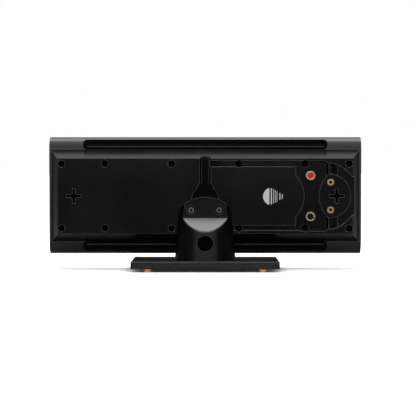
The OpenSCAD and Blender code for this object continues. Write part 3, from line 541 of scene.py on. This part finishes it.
# Each bar is given by its place across the cover, its width and its length.
print_bars = ((-0.0902, 0.0016, 0.0215), (-0.0932, 0.0008, 0.019), (-0.0955, 0.0008, 0.017),
              (-0.0978, 0.0008, 0.0145), (-0.1018, 0.0012, 0.009), (-0.1050, 0.0012, 0.006))
printed_field(cover_plastic, centre=(-0.0911, panel_y, body_z - 0.0005), radius=0.0122,
              flat_x=-0.0874, bars=print_bars, tone=(0.42, 0.42, 0.42))
dress("rear_cover", cover_plastic)
well_steel = finish("black_screws", (0.006, 0.006, 0.006), 0.45, metallic=1.0)
vary(well_steel, "Roughness", place_noise(well_steel, 260.0), 0.38, 0.52)
dress("cover_screws", well_steel)

brass = finish("insert_brass", (0.5, 0.4, 0.18), 0.3, metallic=1.0)
vary(brass, "Roughness", place_noise(brass, 420.0), 0.22, 0.4)
# Painted shade: the inside of each insert's bore is near black.
bore_shade = ((0.0, panel_y - 0.0105, body_z), (0.25, 0.01, 0.1))
mix_in(brass, box_mask(brass, [bore_shade]), "Base Color", (0.012, 0.01, 0.006))
dress("side_inserts", brass)
dress("stand_inserts", brass)


# Stand neck: a moulded half cone with an arched top, screwed to the cover's inserts
# by two socket screws. A blank half-moon of brushed aluminium is glued on its
# slanted face.
neck_plastic = moulded("neck_plastic", (0.0014, 0.0014, 0.0016), roughness=0.28, level=0.24,
                       grain_scale=3000.0, grain_depth=0.00002, edge_radius=0.0009)
neck_screw_x, neck_screw_z = 0.019, 0.0827
# Painted shade: near black with a low specular level in the neck's hollow and in the wells of its
# two screws.
hollow = ((0.0, 0.022, 0.04), (0.028, 0.021, 0.0235))
neck_wells = [((x, 0.03, neck_screw_z), (0.0058, 0.0077, 0.0058))
              for x in (-neck_screw_x, neck_screw_x)]
paint_deep_shade(neck_plastic, [hollow] + neck_wells)
# Painted highlight: a lighter colour along the neck's moulded edges.
paint_edge_highlights(neck_plastic, radius=0.0006, colour=(0.13, 0.13, 0.13))
dress("stand_neck", neck_plastic)
silver = finish("brushed_aluminium", (0.165, 0.17, 0.17), 0.42, metallic=1.0)
lay = place_noise(silver, 220.0, detail=3.0, stretch=(1.0, 30.0, 30.0))
vary(silver, "Roughness", lay, 0.32, 0.46)
grain(silver, lay, strength=0.25, distance=0.00005)
dress("neck_plate", silver)
# The head's pale satin grey is partly its plating and partly a painted glint for its rounded rim.
socket_steel = finish("socket_screws", (0.42, 0.42, 0.41), 0.3, metallic=0.35)
wear = place_noise(socket_steel, 300.0)
vary(socket_steel, "Roughness", wear, 0.22, 0.38)
grain(socket_steel, wear, strength=0.1, distance=0.00002, edge_radius=0.0012)
# Painted shade: a near-black disc in the middle of each head for the shade inside its socket.
for x in (-neck_screw_x, neck_screw_x):
    socket_shade = round_mask(socket_steel, (x, 0.0, neck_screw_z), radius=0.0026)
    mix_in(socket_steel, socket_shade, "Base Color", (0.004, 0.004, 0.004))
dress("neck_screws", socket_steel)


# Base: a painted steel plate with small round corners and a chamfered edge.
# Two screws hold it to the neck, and four copper-coloured rubber feet are glued under it.
base_paint = moulded("base_paint", (0.008, 0.0084, 0.009), roughness=0.36, level=0.42,
                     grain_scale=1400.0, grain_depth=0.00003)
# Painted highlight: a lighter colour along the base plate's edges.
paint_edge_highlights(base_paint, radius=0.0007, colour=(0.09, 0.092, 0.096))
dress("stand_base", base_paint)
dress("base_screws", bright_steel)
dress("base_feet", moulded("foot_rubber", (0.88, 0.4, 0.19), roughness=0.4, level=0.5,
                           grain_scale=700.0, grain_depth=0.0001))


# Studio: a white floor that keeps the contact shadow, in a white room with soft lamps
# overhead, on the camera's side and at both ends. The room and the floor look white to
# the camera and are dimmer in reflections.
def studio_floor():
    """White to the camera, with a painted glow that grows with the distance from the base: it
    whitens the far floor and lightens the contact shadow beyond about 18 mm.
    """
    half_size = 20.0
    shown_tone, lighting_tone, mirrored_tone = 0.93, 0.6, 0.16
    base_half = (0.1, 0.06, 0.0)
    contact_glow, near_glow, near_end = 0.02, 0.3, 0.018
    far_start, far_end = 0.1, 0.7
    made = finish("floor_white", (0.3, 0.3, 0.3), 0.9, 0.0)
    tree = made.node_tree
    shader = shader_of(made)
    path = node_of(tree, "ShaderNodeLightPath")
    mirrored = ranged(tree, path.outputs["Is Glossy Ray"], 0.0, 1.0, lighting_tone,
                      mirrored_tone)
    shown = number_from(tree, "MULTIPLY", path.outputs["Is Camera Ray"], shown_tone)
    tree.links.new(number_from(tree, "MAXIMUM", mirrored, shown), shader.inputs["Base Color"])
    spread = vector_from(tree, "ABSOLUTE", place_in(tree))
    beyond = vector_from(tree, "SUBTRACT", spread, base_half)
    outside = vector_from(tree, "MAXIMUM", beyond, (0.0, 0.0, 0.0))
    distance = vector_from(tree, "LENGTH", outside)
    # Painted light: the camera-only glow is least at the base's edge and grows outwards, so the
    # real contact shadow stays only close to the base.
    near = ranged(tree, distance, 0.0, near_end, contact_glow, near_glow, "SMOOTHSTEP")
    far = ranged(tree, distance, far_start, far_end, kind="SMOOTHSTEP")
    level = number_from(tree, "MAXIMUM", near, far)
    glow = node_of(tree, "ShaderNodeEmission")
    tree.links.new(number_from(tree, "MULTIPLY", path.outputs["Is Camera Ray"], level),
                   glow.inputs["Strength"])
    both = node_of(tree, "ShaderNodeAddShader")
    tree.links.new(shader.outputs["BSDF"], both.inputs[0])
    tree.links.new(glow.outputs["Emission"], both.inputs[1])
    tree.links.new(both.outputs["Shader"], tree.nodes["Material Output"].inputs["Surface"])
    mesh = bmesh.new()
    bmesh.ops.create_grid(mesh, x_segments=1, y_segments=1, size=half_size)
    floor = placed("floor", mesh, made)


def studio_world():
    """White to the camera; it lights from above and a little from behind the object."""
    behind_start, behind_full, behind_low, behind_high = -0.68, -0.98, 0.01, 0.13
    above_start, above_full, above_high = 0.25, 0.75, 0.9
    world = bpy.data.worlds.new("studio")
    bpy.context.scene.world = world
    world.use_nodes = True
    tree = world.node_tree
    where = node_of(tree, "ShaderNodeTexCoord")
    split = node_of(tree, "ShaderNodeSeparateXYZ")
    tree.links.new(where.outputs["Generated"], split.inputs["Vector"])
    behind = ranged(tree, split.outputs["Y"], behind_start, behind_full, behind_low,
                    behind_high, "SMOOTHSTEP")
    above = ranged(tree, split.outputs["Z"], above_start, above_full, 0.0, above_high,
                   "SMOOTHSTEP")
    level = number_from(tree, "MAXIMUM", behind, above)
    path = node_of(tree, "ShaderNodeLightPath")
    shown = number_from(tree, "MAXIMUM", path.outputs["Is Camera Ray"], level)
    tree.nodes["Background"].inputs["Color"].default_value = (1.0, 1.0, 1.0, 1.0)
    tree.links.new(shown, tree.nodes["Background"].inputs["Strength"])


def soft_light(name, size, power, place, aim=(0.0, 0.0, 0.1), mirrored=True):
    """A rectangular lamp turned to the object, shown in reflections or not."""
    light = bpy.data.lights.new(name, "AREA")
    light.shape = "RECTANGLE"
    light.size, light.size_y = size
    light.energy = power
    lamp = bpy.data.objects.new(name, light)
    lamp.location = place
    lamp.rotation_euler = (Vector(aim) - Vector(place)).to_track_quat("-Z", "Y").to_euler()
    lamp.visible_glossy = mirrored
    bpy.context.scene.collection.objects.link(lamp)


studio_floor()
studio_world()
soft_light("overhead", size=(1.4, 0.8), power=13.5, place=(0.0, -0.35, 1.5))
soft_light("camera_side", size=(3.6, 0.26), power=10.0, place=(0.0, 1.95, 0.45),
           aim=(0.0, 0.0, 0.05))
soft_light("camera_fill", size=(2.4, 1.2), power=20.0, place=(0.0, 2.2, 1.5), mirrored=False)
soft_light("left_fill", size=(1.8, 1.4), power=24.0, place=(2.2, 0.2, 1.0), mirrored=False)
soft_light("right_fill", size=(1.8, 1.4), power=24.0, place=(-2.2, 0.2, 1.0), mirrored=False)

# The camera looks at the back of the speaker, a little down on it.
camera_tilt = 1.63
camera_data = bpy.data.cameras.new("camera")
camera_data.sensor_width = 36.0
camera_data.lens = 137.5
camera = bpy.data.objects.new("camera", camera_data)
camera.location = (-0.0038, 2.182, 0.1468)
camera.rotation_euler = (math.radians(90.0 - camera_tilt), 0.0, math.radians(180.0))
bpy.context.scene.collection.objects.link(camera)
bpy.context.scene.camera = camera
bpy.context.scene.view_settings.view_transform = "Standard"
